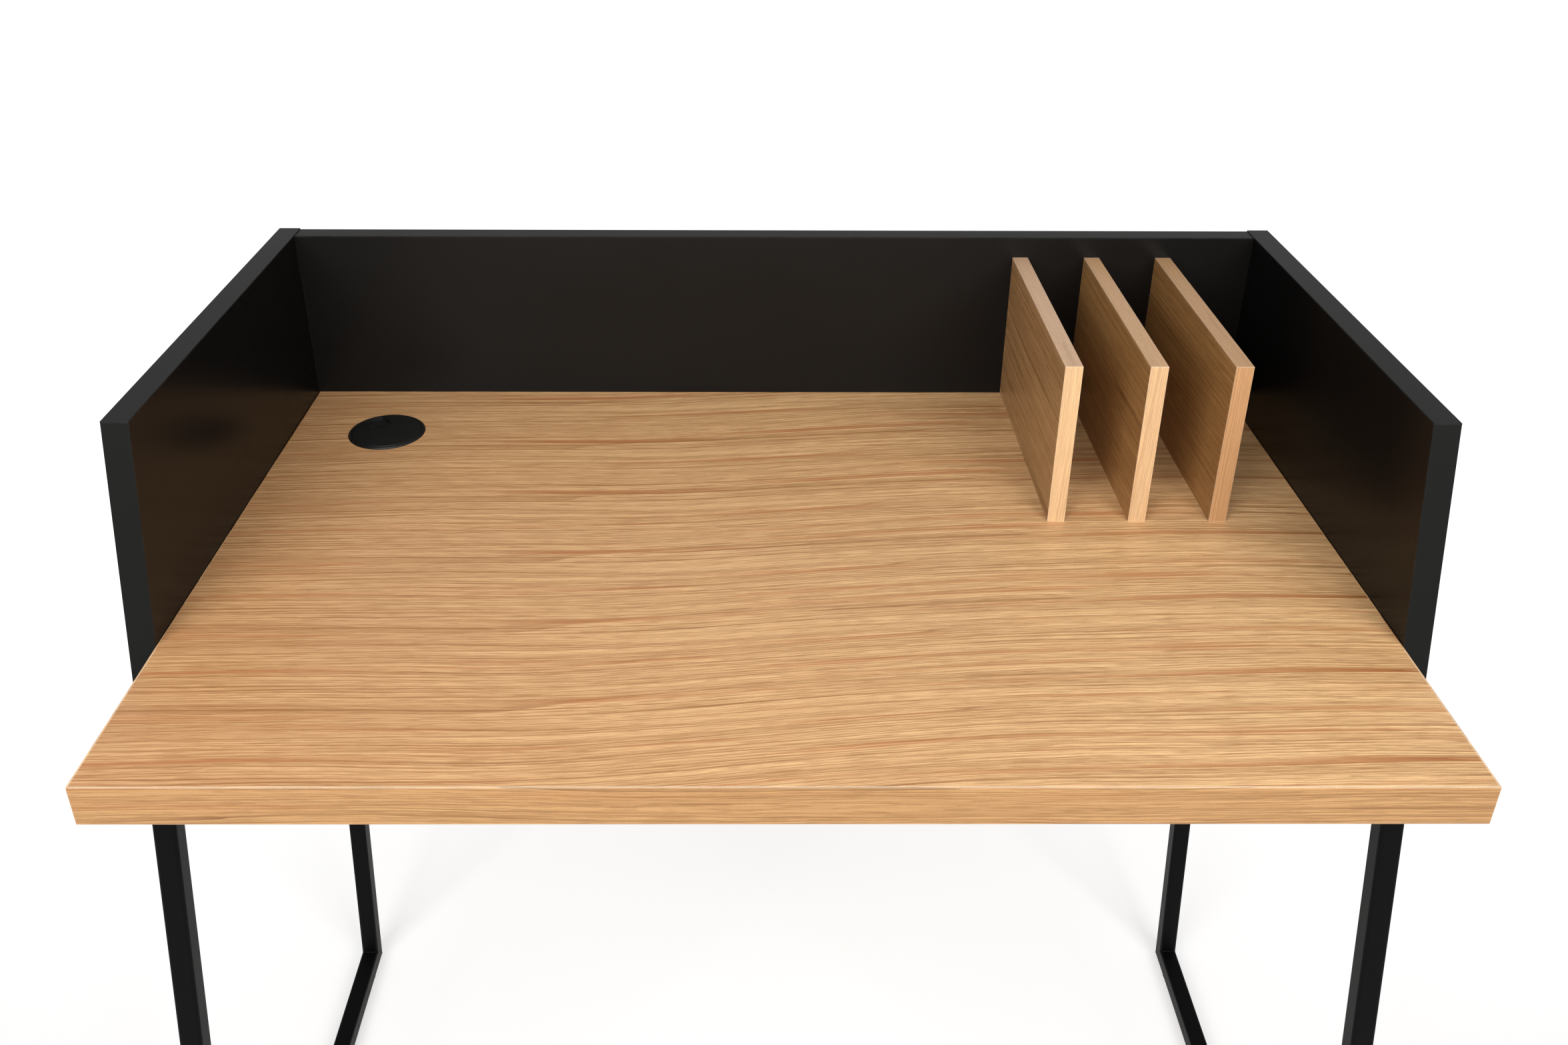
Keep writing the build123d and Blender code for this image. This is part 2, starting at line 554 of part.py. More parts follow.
def grommet_liner():
    """Flanged sleeve in the worktop, slit into snap tabs below."""
    flange_edge = 1.2
    tab_slit = 3.0
    slit_top = -10.0
    with BuildPart() as liner:
        with BuildSketch(GROMMET_SECTION):
            with BuildLine():
                Polyline((BORE_RADIUS, -BARREL_DEPTH), (BARREL_RADIUS, -BARREL_DEPTH), (BARREL_RADIUS, 0),
                         (FLANGE_RADIUS, 0), (FLANGE_RADIUS, FLANGE_HEIGHT - flange_edge),
                         (FLANGE_RADIUS - flange_edge, FLANGE_HEIGHT), (SEAT_RADIUS, FLANGE_HEIGHT),
                         (SEAT_RADIUS, SEAT_HEIGHT), (BORE_RADIUS, SEAT_HEIGHT), close=True)
            make_face()
        revolve(axis=GROMMET_AXIS)
        with BuildSketch(GROMMET_TOP.offset(slit_top)):
            with PolarLocations(0, 4):
                Rectangle(2 * BARREL_RADIUS + 1, tab_slit)
        extrude(amount=-BARREL_DEPTH, mode=Mode.SUBTRACT)
    return liner


def grommet_cap():
    """Lid with an open cable slot, a centre stud for the shutter and three legs in the sleeve."""
    leg = 2.0
    leg_width = 8.0
    leg_bottom = -9.0
    leg_directions = (125.0, 205.0, 285.0)
    edge = 0.5
    stud_bottom = -4.0
    with BuildPart() as cap:
        with BuildSketch(GROMMET_TOP.offset(CAP_RIM_UNDERSIDE)):
            Circle(CAP_RADIUS)
        extrude(amount=CAP_TOP - CAP_RIM_UNDERSIDE)
        chamfer(cap.edges().filter_by(GeomType.CIRCLE).group_by(Axis.Z)[-1], edge)
        with BuildSketch(GROMMET_TOP.offset(CAP_RIM_UNDERSIDE)):
            Circle(BORE_RADIUS)
        extrude(amount=CAP_UNDERSIDE - CAP_RIM_UNDERSIDE, mode=Mode.SUBTRACT)
        with BuildSketch(GROMMET_TOP.offset(stud_bottom)):
            Circle(STUD_RADIUS)
        extrude(amount=CAP_UNDERSIDE - stud_bottom)
        for direction in leg_directions:
            leg_plane = Plane(origin=GROMMET_TOP.offset(leg_bottom).origin,
                              x_dir=GROMMET_TOP.x_dir.rotate(Axis.Z, direction), z_dir=(0, 0, 1))
            with BuildSketch(leg_plane):
                Circle(SHUTTER_REACH)
                Circle(SHUTTER_REACH - leg, mode=Mode.SUBTRACT)
                with Locations((BORE_RADIUS, 0)):
                    Rectangle(BORE_RADIUS, leg_width, mode=Mode.INTERSECT)
            extrude(amount=CAP_UNDERSIDE - leg_bottom)
        with BuildSketch(GROMMET_TOP.offset(CAP_RIM_UNDERSIDE)):
            with Locations((CABLE_SLOT_REACH + CAP_RADIUS / 2, 0)):
                RectangleRounded(CAP_RADIUS, CABLE_SLOT_WIDTH, CABLE_SLOT_CORNER)
        extrude(amount=CAP_TOP, mode=Mode.SUBTRACT)
    return cap


def grommet_shutter():
    """Tongue that turns under the cap to close or open the cable slot, ribbed for a finger."""
    rib = 1.6
    rib_length = 18.0
    rib_height = 0.9
    rib_places = [(16.0, 0), (21.0, 0), (26.0, 0)]
    with BuildPart() as shutter:
        with BuildSketch(GROMMET_TOP.offset(SHUTTER_TOP)):
            Circle(SHUTTER_REACH)
            with Locations((SHUTTER_REACH / 2, 0)):
                Rectangle(SHUTTER_REACH, SHUTTER_WIDTH, mode=Mode.INTERSECT)
            Circle(SHUTTER_HUB_RADIUS)
            Circle(STUD_RADIUS + STUD_CLEARANCE, mode=Mode.SUBTRACT)
        extrude(amount=-SHUTTER)
        with BuildSketch(GROMMET_TOP.offset(SHUTTER_TOP)):
            with Locations(*rib_places):
                Rectangle(rib, rib_length)
        extrude(amount=rib_height)
    return shutter


def shutter_retainer():
    """Push-on washer that holds the shutter on the cap's stud."""
    gap = 0.3
    thickness = 0.8
    with BuildPart() as washer:
        with BuildSketch(GROMMET_TOP.offset(SHUTTER_TOP - SHUTTER - gap)):
            Circle(2 * STUD_RADIUS)
            Circle(STUD_RADIUS, mode=Mode.SUBTRACT)
        extrude(amount=-thickness)
    return washer


os.makedirs("parts", exist_ok=True)

for name, side in SIDES.items():
    save(side_panel(side), f"{name}_side_panel")
    save(front_band(side), f"{name}_panel_front_band")
    save(top_band(side), f"{name}_panel_top_band")
    save(rear_band(side), f"{name}_panel_rear_band")
    save(worktop_side_band(side), f"worktop_{name}_band")
    for member in FRAME_MEMBERS:
        save(frame_tube(member, side), f"{name}_{member}")
    for place, y in zip(("front", "rear"), GLIDE_Y):
        save(glide(side, y), f"{name}_{place}_glide")

save(back_panel(), "back_panel")
save(back_top_band(), "back_panel_top_band")
save(worktop(), "worktop")
save(worktop_front_band(), "worktop_front_band")

for number, x in enumerate(DIVIDER_X, start=1):
    save(divider(x), f"divider_{number}")
    save(divider_front_band(x), f"divider_{number}_front_band")
    save(divider_top_band(x), f"divider_{number}_top_band")

for place, y in zip(("front", "rear"), CROSS_RAIL_Y):
    save(cross_rail(y), f"{place}_cross_rail")
save(cross_rail_end_plates(), "cross_rail_end_plates")
save(rail_bolts(), "rail_bolts")
save(rivet_nuts(), "rivet_nuts")

save(wood_screws(PANEL_SCREW_SEATS, PANEL_SCREW_LENGTH, False), "side_panel_screws")
save(wood_screws(WORKTOP_SCREW_SEATS, WORKTOP_SCREW_LENGTH, False), "worktop_screws")
save(wood_screws(DIVIDER_SCREW_SEATS, DIVIDER_SCREW_LENGTH, True), "divider_screws")
save(dowels(DIVIDER_DOWEL_SEATS), "divider_dowels")

save(cams(BACK_CAM_SEATS, -CAP_THICKNESS, BACK_CAM_DEPTH - CAP_THICKNESS, BACK_BOLT_SEATS), "back_panel_cams")
save(cam_bolts(BACK_BOLT_SEATS), "back_panel_cam_bolts")
save(cover_discs(BACK_CAM_SEATS, CAM_RADIUS), "back_panel_cam_caps")
save(dowels(BACK_DOWEL_SEATS), "back_panel_dowels")
save(back_panel_screws(), "back_panel_screws")
save(cover_discs(BACK_SCREW_CAP_SEATS, BACK_SCREW_CAP_RADIUS), "back_panel_screw_caps")

save(cams(WORKTOP_CAM_SEATS, 0.0, WORKTOP_CAM_DEPTH, WORKTOP_BOLT_SEATS), "worktop_cams")
save(cam_bolts(WORKTOP_BOLT_SEATS), "worktop_cam_bolts")
save(dowels(WORKTOP_DOWEL_SEATS), "worktop_dowels")

save(grommet_liner(), "grommet_liner")
save(grommet_cap(), "grommet_cap")
save(grommet_shutter(), "grommet_shutter")
save(shutter_retainer(), "shutter_retainer")
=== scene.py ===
import json
import math
from random import Random

import bmesh
import bpy
from mathutils import Matrix, Vector


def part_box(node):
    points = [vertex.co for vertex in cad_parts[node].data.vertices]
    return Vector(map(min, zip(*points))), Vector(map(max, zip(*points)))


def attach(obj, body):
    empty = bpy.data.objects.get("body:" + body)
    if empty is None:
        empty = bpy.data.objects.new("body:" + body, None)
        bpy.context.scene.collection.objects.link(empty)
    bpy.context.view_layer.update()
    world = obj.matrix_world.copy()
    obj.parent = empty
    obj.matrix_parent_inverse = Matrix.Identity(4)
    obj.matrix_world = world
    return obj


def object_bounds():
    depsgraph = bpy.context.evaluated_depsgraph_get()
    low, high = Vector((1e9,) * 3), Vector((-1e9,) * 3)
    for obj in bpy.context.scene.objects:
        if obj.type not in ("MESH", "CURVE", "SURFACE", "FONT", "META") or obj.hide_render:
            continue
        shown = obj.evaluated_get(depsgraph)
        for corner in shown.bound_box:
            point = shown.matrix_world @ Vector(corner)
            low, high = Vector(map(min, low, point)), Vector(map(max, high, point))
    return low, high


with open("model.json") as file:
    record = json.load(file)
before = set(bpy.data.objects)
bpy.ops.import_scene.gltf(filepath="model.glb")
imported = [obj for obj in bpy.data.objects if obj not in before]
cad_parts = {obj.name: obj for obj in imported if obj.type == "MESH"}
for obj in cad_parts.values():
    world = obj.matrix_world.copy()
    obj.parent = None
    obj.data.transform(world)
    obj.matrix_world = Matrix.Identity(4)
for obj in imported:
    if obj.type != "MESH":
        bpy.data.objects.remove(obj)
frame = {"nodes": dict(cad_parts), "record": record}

CAD_LOW, CAD_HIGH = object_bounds()
NODES = frame["nodes"]
X, Y, Z = 0, 1, 2


# Camera: the view of someone standing in front of the desk and looking down at the worktop

CAMERA_PLACE = (-0.0243, -1.0613, 1.4132)
CAMERA_DOWN = 28.33
CAMERA_RIGHT = 0.44
CAMERA_ROLL = -0.28
CAMERA_LENS = 31.61
CAMERA_SHIFT = (0.0148, -0.0384)


def make_camera():
    pitch, yaw, roll = (math.radians(angle) for angle in (CAMERA_DOWN, CAMERA_RIGHT, CAMERA_ROLL))
    level_ahead = Vector((math.sin(yaw), math.cos(yaw), 0))
    ahead = math.cos(pitch) * level_ahead - math.sin(pitch) * Vector((0, 0, 1))
    level = Vector((math.cos(yaw), -math.sin(yaw), 0))
    down = ahead.cross(level)
    right = math.cos(roll) * level + math.sin(roll) * down
    up = -(math.cos(roll) * down - math.sin(roll) * level)
    data = bpy.data.cameras.new("camera")
    data.sensor_width = 36
    data.lens = CAMERA_LENS
    data.shift_x, data.shift_y = CAMERA_SHIFT
    data.clip_start = 0.05
    camera = bpy.data.objects.new("camera", data)
    turn = Matrix((right, up, -ahead)).transposed().to_4x4()
    camera.matrix_world = Matrix.Translation(CAMERA_PLACE) @ turn
    bpy.context.scene.collection.objects.link(camera)
    bpy.context.scene.camera = camera


# Materials

class Graph:
    """One material's shader nodes. Positions are the row frame's, in metres."""

    def __init__(self, name):
        self.material = bpy.data.materials.new(name)
        self.material.use_nodes = True
        self.tree = self.material.node_tree
        self.shader = self.tree.nodes["Principled BSDF"]

    def node(self, kind, inputs=(), **settings):
        made = self.tree.nodes.new("ShaderNode" + kind)
        for key, value in settings.items():
            setattr(made, key, value)
        for key, value in dict(inputs).items():
            self.put(made.inputs[key], value)
        return made

    def put(self, socket, value):
        if isinstance(value, bpy.types.NodeSocket):
            self.tree.links.new(value, socket)
        else:
            socket.default_value = value

    def math(self, operation, *values):
        return self.node("Math", enumerate(values), operation=operation).outputs[0]

    def position(self):
        return self.node("TexCoord").outputs["Object"]

    def vector(self, x, y, z):
        return self.node("CombineXYZ", enumerate((x, y, z))).outputs[0]

    def noise(self, vector, scale=1.0, detail=2.0, roughness=0.5):
        inputs = {"Vector": vector, "Scale": scale, "Detail": detail, "Roughness": roughness}
        return self.node("TexNoise", inputs).outputs["Fac"]

    def stretch(self, value, low, high, start=0.0, end=1.0, shape="LINEAR"):
        """low to high of value becomes start to end."""
        inputs = {"Value": value, "From Min": low, "From Max": high, "To Min": start, "To Max": end}
        return self.node("MapRange", inputs, interpolation_type=shape).outputs[0]

    def mix(self, share, first, second):
        made = self.node("Mix", {"Factor": share}, data_type="RGBA")
        colours = [socket for socket in made.inputs if socket.type == "RGBA"]
        self.put(colours[0], first)
        self.put(colours[1], second)
        return next(socket for socket in made.outputs if socket.type == "RGBA")

    def bump(self, height, distance, strength=1.0):
        inputs = {"Height": height, "Distance": distance, "Strength": strength}
        return self.node("Bump", inputs).outputs[0]

    def edges(self, reach):
        """1 on the object's own edges, falling to 0 within reach."""
        soft = self.node("Bevel", {"Radius": reach}, samples=4).outputs[0]
        flat = self.node("NewGeometry").outputs["Normal"]
        pair = enumerate((soft, flat))
        facing = self.node("VectorMath", pair, operation="DOT_PRODUCT").outputs["Value"]
        flat_cosine, edge_cosine = 0.995, 0.80
        return self.stretch(facing, flat_cosine, edge_cosine)

    def set(self, **values):
        for key, value in values.items():
            self.put(self.shader.inputs[key.replace("_", " ")], value)


def srgb(red, green, blue):
    """A colour on the 0 to 255 scale, as linear light."""
    return [(c / 255 / 12.92 if c < 10.3 else ((c / 255 + 0.055) / 1.055) ** 2.4)
            for c in (red, green, blue)] + [1.0]


def scaled(colour, factor):
    return [channel * factor for channel in colour[:3]] + [1.0]


EDGE_REACH = 0.0012
EDGE_FADE = 0.01
# Colour of the painted highlight mixed into oak along its edges
HIGHLIGHT_CREAM = srgb(255, 240, 214)


def oak(name, along, across, seed, colours, contrast=1.0, pores=1.0, flecks=0.08,
        leaf=None, rise=0.0, warmth=0.0, edge_highlight=0.3, covered=None):
    """Oak veneer with its grain along one axis.

    colours are the ground, the dark lines and the reddish streaks. contrast is the strength of the
    broad figure, pores that of the fine lines, and flecks that of the dark specks. leaf is the width
    of the veneer leaves, laid side by side without turning, so their pattern comes back with a small
    shift. rise is how far the grain climbs across the middle of the board. warmth reddens the board
    towards its left end, and edge_highlight is the strength of the painted highlight along its edges.
    covered is the Y past which that painted highlight fades out, where a neighbour hides the edges."""
    ground, dark, streak = colours
    g = Graph(name)
    axes = g.node("SeparateXYZ", {"Vector": g.position()}).outputs
    u, v, depth = axes[along], axes[across], axes[3 - along - across]
    layer = g.math("MULTIPLY_ADD", depth, 3.0, seed)

    # bent is the place across the grain, once it has been bent slowly, lifted and rippled
    slow_bend, leaf_shift, leaf_layer, ripple_bend = 0.045, 0.018, 0.05, 0.006
    slow = g.noise(g.vector(g.math("MULTIPLY", u, 1.7), g.math("MULTIPLY", v, 1.3), layer), detail=1)
    bent = g.math("MULTIPLY_ADD", g.math("SUBTRACT", slow, 0.5), slow_bend, v)
    if rise:
        bent = g.math("MULTIPLY_ADD", g.stretch(u, -0.24, 0.22, shape="SMOOTHSTEP"), -rise, bent)
    if leaf:
        count = g.math("FLOOR", g.math("DIVIDE", bent, leaf))
        bent = g.math("MULTIPLY_ADD", count, -leaf, bent)
        u = g.math("MULTIPLY_ADD", count, leaf_shift, u)
        layer = g.math("MULTIPLY_ADD", count, leaf_layer, layer)
    ripple = g.noise(g.vector(g.math("MULTIPLY", u, 5), g.math("MULTIPLY", bent, 22), layer), detail=2)
    bent = g.math("MULTIPLY_ADD", g.math("SUBTRACT", ripple, 0.5), ripple_bend, bent)

    def lines(lengthwise, crosswise, low, high, shift, detail=2.0):
        """Streaks of noise, so many to the metre along and across the grain."""
        place = g.vector(g.math("MULTIPLY", u, lengthwise), g.math("MULTIPLY", bent, crosswise),
                         g.math("ADD", layer, shift))
        return g.stretch(g.noise(place, detail=detail, roughness=0.65), low, high)

    def rings(spacing, wander, lengthwise, low, high, fade, shift):
        """Growth rings: dark at one side and fading to the next, each with its own strength."""
        shifted = g.math("ADD", layer, shift)
        slow_across = 0.35 / spacing
        drift = g.noise(g.vector(g.math("MULTIPLY", u, 1.3), g.math("MULTIPLY", bent, slow_across),
                                 shifted), detail=1)
        phase = g.math("MULTIPLY_ADD", drift, wander, g.math("DIVIDE", bent, spacing))
        ring = g.math("FLOOR", phase)
        fall = g.math("POWER", g.math("SUBTRACT", 1.0, g.math("SUBTRACT", phase, ring)), fade)
        strength = g.noise(g.vector(g.math("MULTIPLY", u, lengthwise), g.math("MULTIPLY", ring, 7.31),
                                    shifted), detail=2)
        return g.math("MULTIPLY", fall, g.stretch(strength, low, high))

    tone = lines(lengthwise=1.2, crosswise=45, low=0.32, high=0.68, shift=3.0, detail=3)
    wide = rings(spacing=0.019, wander=4.0, lengthwise=0.9, low=0.36, high=0.66, fade=2.4, shift=5.0)
    thin = rings(spacing=0.0034, wander=5.0, lengthwise=1.8, low=0.20, high=0.60, fade=4.0, shift=7.0)
    fine = rings(spacing=0.0018, wander=6.0, lengthwise=3.2, low=0.30, high=0.62, fade=3.0, shift=9.0)
    pore = lines(lengthwise=34, crosswise=1300, low=0.50, high=0.57, shift=11.0, detail=1)
    ember = lines(lengthwise=2.0, crosswise=85, low=0.57, high=0.70, shift=17.0)
    fleck = g.stretch(g.noise(g.position(), scale=620), 0.50, 0.68)
    warm = g.stretch(u, 0.25, -0.55)
    # Painted highlight: a pale cream mixed into the colour along the board's edges, faded out past
    # covered
    edge = g.edges(EDGE_REACH)
    if covered is not None:
        edge = g.math("MULTIPLY", edge, g.stretch(axes[Y], covered, covered - EDGE_FADE))

    colour = ground
    for mask, strength, over in (
            (tone, 0.24 * contrast, dark),
            (wide, 0.30 * contrast, dark),
            (thin, pores, dark),
            (fine, 0.75 * pores, dark),
            (pore, 0.40 * pores, dark),
            (ember, 0.4 * contrast, streak),
            (fleck, flecks, dark),
            (warm, warmth, streak),
            (edge, edge_highlight, HIGHLIGHT_CREAM)):
        colour = g.mix(g.math("MULTIPLY", mask, strength), colour, over)
    rough = g.math("MULTIPLY_ADD", thin, 0.10, 0.36)
    g.set(Base_Color=colour, Roughness=rough, Specular_IOR_Level=0.35,
          Normal=g.bump(g.math("ADD", pore, thin), distance=0.00005, strength=-0.5))
    return g.material


def black_board(name, colour, roughness, shine):
    """Matt black board face or edging: fine pebble, slow changes of tone and sheen, and a patchy
    painted highlight along its edges.
    """
    g = Graph(name)
    place = g.position()
    pebble = g.noise(place, scale=1400)
    cloud = g.noise(place, scale=5, detail=3)
    shade = g.mix(g.stretch(cloud, 0.3, 0.7), scaled(colour, 0.85), colour)
    # Painted highlight: the board's edges lightened towards grey, in patches
    board_painted_highlight = g.math("MULTIPLY", g.edges(EDGE_REACH), g.stretch(g.noise(place, scale=60), 0.2, 0.8))
    shade = g.mix(g.math("MULTIPLY", board_painted_highlight, 0.6), shade, srgb(58, 58, 56))
    rough = g.math("MULTIPLY_ADD", cloud, 0.10, g.math("MULTIPLY_ADD", pebble, 0.06, roughness - 0.08))
    g.set(Base_Color=shade, Roughness=rough, Specular_IOR_Level=shine,
          Normal=g.bump(pebble, distance=0.00002, strength=0.5))
    return g.material


def powder_coat(name):
    """Black powder coat: a slight orange peel, with a patchy painted highlight along the tubes' edges.
    """
    g = Graph(name)
    place = g.position()
    peel = g.noise(place, scale=700, detail=3)
    cloud = g.noise(place, scale=9)
    # Painted highlight: the tubes' edges lightened towards grey, in patches
    tube_highlight_patches = g.stretch(g.noise(place, scale=90, detail=3), 0.4, 0.7)
    tube_painted_highlight = g.math("MULTIPLY", g.edges(reach=0.0010), tube_highlight_patches)
    shade = g.mix(g.math("MULTIPLY", tube_painted_highlight, 0.5), srgb(6, 6, 6), srgb(34, 34, 35))
    rough = g.math("MULTIPLY_ADD", cloud, 0.12, g.math("MULTIPLY_ADD", peel, 0.10, 0.34))
    g.set(Base_Color=shade, Roughness=rough, Specular_IOR_Level=0.08,
          Normal=g.bump(peel, distance=0.00004, strength=0.7))
    return g.material


def plastic(name, colour, roughness):
    g = Graph(name)
    place = g.position()
    texture = g.noise(place, scale=2600)
    cloud = g.noise(place, scale=30)
    shade = g.mix(g.stretch(cloud, 0.3, 0.7), colour, scaled(colour, 1.25))
    rough = g.math("MULTIPLY_ADD", texture, 0.12, roughness)
    g.set(Base_Color=shade, Roughness=rough, Normal=g.bump(texture, distance=0.00003, strength=0.5))
    return g.material


def bare_metal(name, colour, roughness):
    g = Graph(name)
    smear = g.noise(g.position(), scale=160, detail=4)
    shade = g.mix(g.stretch(smear, 0.3, 0.7), colour, scaled(colour, 0.75))
    rough = g.math("MULTIPLY_ADD", smear, 0.25, roughness)
    g.set(Base_Color=shade, Metallic=1.0, Roughness=rough,
          Normal=g.bump(smear, distance=0.00003, strength=0.4))
    return g.material


PANEL_FRONT = -0.16  # Y of the side panels' front edges at the worktop's top
OAK_STREAK = srgb(164, 98, 54)
WORKTOP_OAK = (srgb(237, 195, 142), srgb(128, 82, 40), OAK_STREAK)
SIDE_BAND_OAK = (srgb(226, 184, 132), srgb(140, 93, 49), OAK_STREAK)
FRONT_BAND_OAK = (srgb(184, 142, 94), srgb(120, 80, 41), OAK_STREAK)
BEECH = (srgb(226, 188, 148), srgb(205, 160, 116), srgb(190, 140, 98))

# One finish for each material slot
FINISHES = {
    "black_melamine": black_board("black_melamine", srgb(14, 14, 14), roughness=0.26, shine=0.12),
    "black_edging": black_board("black_edging", srgb(15, 15, 14), roughness=0.36, shine=0.15),
    "black_powder_coat": powder_coat("black_powder_coat"),
    "black_plastic": plastic("black_plastic", srgb(17, 17, 16), roughness=0.34),
    "black_nylon": plastic("black_nylon", srgb(24, 24, 24), roughness=0.5),
    "beech": oak("beech", X, Y, 41.0, BEECH),
    "zinc_alloy": bare_metal("zinc_alloy", srgb(196, 198, 202), roughness=0.42),
    "zinc_steel": bare_metal("zinc_steel", srgb(205, 204, 196), roughness=0.30),
    "black_steel": bare_metal("black_steel", srgb(60, 60, 62), roughness=0.40),
}

# Nodes with a finish of their own
OWN_FINISHES = {
    "back_panel": black_board("back_black_melamine", srgb(20, 19, 18), roughness=0.30, shine=0.16),
    "worktop": oak("oak_worktop", X, Y, 2.0, WORKTOP_OAK, contrast=1.5, leaf=0.105, rise=0.038,
                   warmth=0.26, edge_highlight=0.75, covered=PANEL_FRONT),
    "worktop_front_band": oak("oak_front_band", X, Z, 6.5, FRONT_BAND_OAK, contrast=0.6,
                              edge_highlight=0.75),
    "worktop_left_band": oak("oak_left_band", Y, Z, 8.0, SIDE_BAND_OAK, covered=PANEL_FRONT),
    "worktop_right_band": oak("oak_right_band", Y, Z, 9.0, SIDE_BAND_OAK, covered=PANEL_FRONT),
}

# The dividers' colours, darker from left to right: side faces, top bands and front bands
SIDE_DARK, SIDE_STREAK = srgb(112, 76, 38), srgb(146, 100, 54)
TOP_STREAK, FRONT_STREAK = srgb(150, 108, 76), srgb(176, 122, 78)
DIVIDER_TONES = {
    1: (srgb(190, 149, 103), srgb(200, 164, 132), srgb(216, 178, 134)),
    2: (srgb(182, 138, 86), srgb(194, 154, 114), srgb(211, 173, 130)),
    3: (srgb(174, 131, 80), srgb(182, 142, 102), srgb(190, 144, 100)),
}
for number, (side, top, front) in DIVIDER_TONES.items():
    OWN_FINISHES[f"divider_{number}"] = oak(
        f"oak_divider_{number}", Y, Z, 10.0 + number, (side, SIDE_DARK, SIDE_STREAK))
    OWN_FINISHES[f"divider_{number}_top_band"] = oak(
        f"oak_divider_{number}_top", Y, X, 30.0 + number, (top, scaled(top, 0.6), TOP_STREAK),
        contrast=0.4, pores=0.4, flecks=0.4)
    OWN_FINISHES[f"divider_{number}_front_band"] = oak(
        f"oak_divider_{number}_front", Z, X, 20.0 + number, (front, scaled(front, 0.62), FRONT_STREAK),
        contrast=0.6)


def dress_nodes():
    """Gives every CAD node its material."""
    for part in frame["record"]["subparts"]:
        piece = NODES[part["node"]]
        finish = OWN_FINISHES.get(part["node"]) or FINISHES[part["material_slot"]]
        piece.data.materials.clear()
        piece.data.materials.append(finish)


# Weld seams where the frame tubes are mitred

def tube_ring(corner, first, second, tube, radius, steps=6):
    """Points of the tube's outline in the mitre plane of two members that leave a corner, each
    with its outward direction."""
    bisector = (first + second).normalized()
    stretch = 1 / math.sin(first.angle(second) / 2)
    half = tube / 2 - radius
    ring = []
    corners = ((half, half, 0), (-half, half, 90), (-half, -half, 180), (half, -half, 270))
    for centre_x, centre_s, start in corners:
        for step in range(steps + 1):
            turn = math.radians(start + 90 * step / steps)
            across, along = math.cos(turn), math.sin(turn)
            point = corner + Vector((centre_x + radius * across, 0, 0))
            point += bisector * stretch * (centre_s + radius * along)
            ring.append((point, (Vector((across, 0, 0)) + bisector * along).normalized()))
    return ring


def weld_seam(name, corner, first, second, tube, radius, random):
    """A ground-down weld bead around a mitre."""
    width, height, spacing, inside_box = 0.0011, 0.00035, 0.0009, 0.00002
    across = (first - second).normalized()
    profile = [(-1.0, -0.6), (-0.6, 0.55), (0.0, 1.0), (0.6, 0.55), (1.0, -0.6)]
    mesh = bmesh.new()
    rows = []
    outline = []
    ring = tube_ring(corner, first, second, tube, radius)
    for (start, start_out), (end, end_out) in zip(ring, ring[1:] + ring[:1]):
        count = max(1, round((end - start).length / spacing))
        for step in range(count):
            share = step / count
            outline.append((start.lerp(end, share), start_out.lerp(end_out, share).normalized()))
    for point, out in outline:
        lift = height * random.uniform(0.75, 1.0)
        drift = width * random.uniform(-0.12, 0.12)
        row = []
        for place, rise in profile:
            spot = point + across * (place * width + drift) + out * (rise * lift)
            spot = Vector([min(max(value, low + inside_box), high - inside_box)
                           for value, low, high in zip(spot, CAD_LOW, CAD_HIGH)])
            row.append(mesh.verts.new(spot))
        rows.append(row)
    for row, following in zip(rows, rows[1:] + rows[:1]):
        for i in range(len(profile) - 1):
            mesh.faces.new((row[i], row[i + 1], following[i + 1], following[i]))
    bmesh.ops.recalc_face_normals(mesh, faces=mesh.faces)
    data = bpy.data.meshes.new(name)
    mesh.to_mesh(data)
    mesh.free()
    data.shade_smooth()
    seam = bpy.data.objects.new(name, data)
    bpy.context.scene.collection.objects.link(seam)
    seam.data.materials.append(FINISHES["black_powder_coat"])
    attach(seam, "desk")


def make_welds():
    tube, radius = 0.020, 0.003
    front_slant, back_slant = math.radians(13.0), math.radians(9.5)
    up_front = Vector((0, math.sin(front_slant), math.cos(front_slant)))
    up_back = Vector((0, math.sin(back_slant), math.cos(back_slant)))
    ahead = Vector((0, -1, 0))
    random = Random(7)
    for side in ("left", "right"):
        low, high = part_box(f"{side}_runner")
        middle_x, middle_z = (low[X] + high[X]) / 2, (low[Z] + high[Z]) / 2
        toe = tube / 2 / math.tan((math.pi / 2 - front_slant) / 2)
        heel = tube / 2 / math.tan((math.pi / 2 + back_slant) / 2)
        front = Vector((middle_x, low[Y] + toe, middle_z))
        rear = Vector((middle_x, high[Y] - heel, middle_z))
        weld_seam(f"{side}_front_foot_weld", front, -ahead, up_front, tube, radius, random)
        weld_seam(f"{side}_rear_foot_weld", rear, ahead, up_back, tube, radius, random)


# Studio

# A softbox: its place, the point it faces, its width and height, and its watts
DESK_MIDDLE = (0, 0, 0.75)
SOFTBOXES = {
    "left_softbox": ((-1.4, -2.0, 2.1), DESK_MIDDLE, (1.3, 1.3), 48),
    "right_softbox": ((1.4, -2.0, 2.1), DESK_MIDDLE, (1.3, 1.3), 48),
    "overhead_softbox": ((0, -1.7, 2.6), (0, -0.3, 0.75), (2.0, 1.0), 39),
}
FLOOR_SIZE = 40.0
FLOOR_GREY = [0.55, 0.55, 0.55, 1]
WHITE = [1, 1, 1, 1]
GLOW_NEAR, GLOW_FAR = 0.12, 0.98
GLOW_BEHIND = (-1.2, 1.8)   # the glow grows over this range of Y
GLOW_AROUND = (2.0, 4.2)    # and over this range of distance from the desk
SKY_FRONT, SKY_BACK = 0.07, 0.50


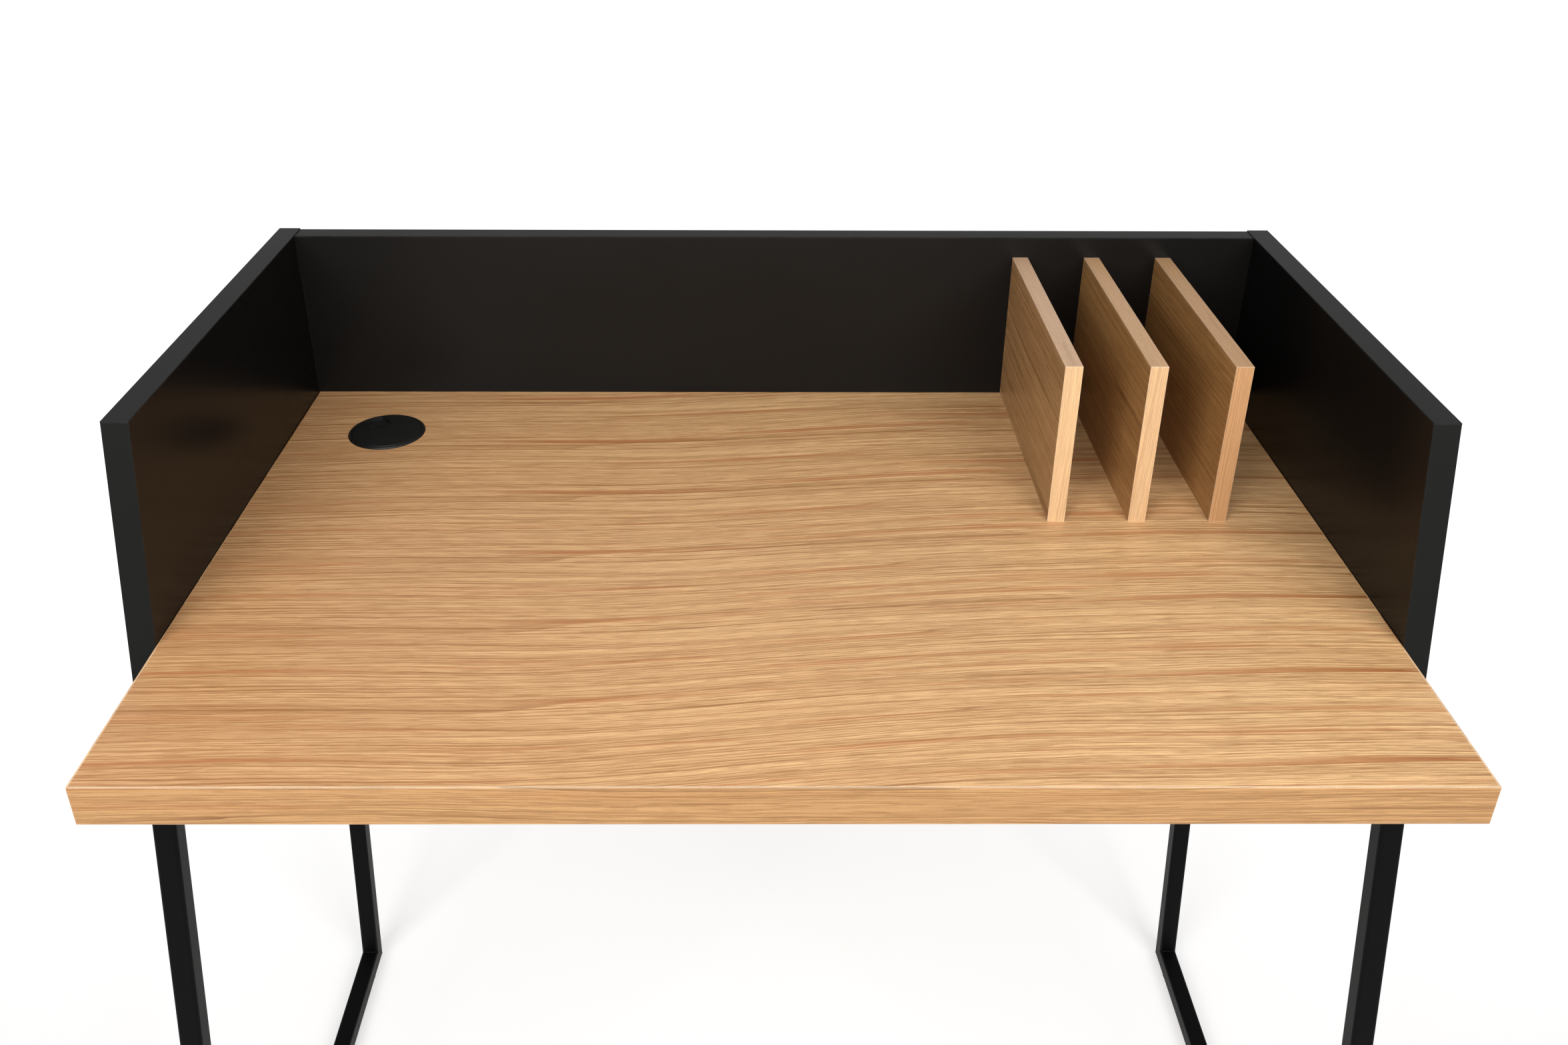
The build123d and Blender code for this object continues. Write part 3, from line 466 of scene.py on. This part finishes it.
def make_floor():
    """A grey floor that glows white behind the desk and far from it."""
    side = FLOOR_SIZE
    mesh = bpy.data.meshes.new("floor")
    corners = [(-side, -side, 0), (side, -side, 0), (side, side, 0), (-side, side, 0)]
    mesh.from_pydata(corners, [], [(0, 1, 2, 3)])
    floor = bpy.data.objects.new("floor", mesh)
    bpy.context.scene.collection.objects.link(floor)
    g = Graph("floor")
    place = g.position()
    behind = g.node("SeparateXYZ", {"Vector": place}).outputs[Y]
    around = g.node("VectorMath", {"Vector": place}, operation="LENGTH").outputs["Value"]
    glow = g.math("MAXIMUM", *(g.stretch(value, *reach, GLOW_NEAR, GLOW_FAR, shape="SMOOTHSTEP")
                               for value, reach in ((behind, GLOW_BEHIND), (around, GLOW_AROUND))))
    g.set(Base_Color=FLOOR_GREY, Roughness=0.6, Emission_Color=WHITE, Emission_Strength=glow)
    floor.data.materials.append(g.material)


def make_light(name, place, aim, size, watts):
    data = bpy.data.lights.new(name, "AREA")
    data.shape = "RECTANGLE"
    data.size, data.size_y = size
    data.energy = watts
    light = bpy.data.objects.new(name, data)
    light.location = place
    light.rotation_euler = (Vector(aim) - Vector(place)).to_track_quat("-Z", "Y").to_euler()
    bpy.context.scene.collection.objects.link(light)


def make_sky():
    """White to the camera. As light it is dim at the front and brighter behind the desk."""
    world = bpy.data.worlds.new("studio")
    bpy.context.scene.world = world
    world.use_nodes = True
    nodes, links = world.node_tree.nodes, world.node_tree.links
    direction = nodes.new("ShaderNodeTexCoord").outputs["Generated"]
    split = nodes.new("ShaderNodeSeparateXYZ")
    links.new(direction, split.inputs[0])
    sweep = nodes.new("ShaderNodeMapRange")
    sweep.interpolation_type = "SMOOTHSTEP"
    reach = {"From Min": -0.5, "From Max": 0.9, "To Min": SKY_FRONT, "To Max": SKY_BACK}
    for key, value in reach.items():
        sweep.inputs[key].default_value = value
    links.new(split.outputs[Y], sweep.inputs["Value"])
    seen = nodes.new("ShaderNodeLightPath").outputs["Is Camera Ray"]
    strength = nodes.new("ShaderNodeMath")
    strength.operation = "MAXIMUM"
    links.new(seen, strength.inputs[0])
    links.new(sweep.outputs[0], strength.inputs[1])
    background = nodes["Background"]
    background.inputs["Color"].default_value = WHITE
    links.new(strength.outputs[0], background.inputs["Strength"])


def make_studio():
    make_sky()
    for name, (place, aim, size, watts) in SOFTBOXES.items():
        make_light(name, place, aim, size, watts)
    bpy.context.scene.view_settings.view_transform = "Standard"
    make_floor()


make_camera()
dress_nodes()
make_welds()
make_studio()
bpy.context.view_layer.update()
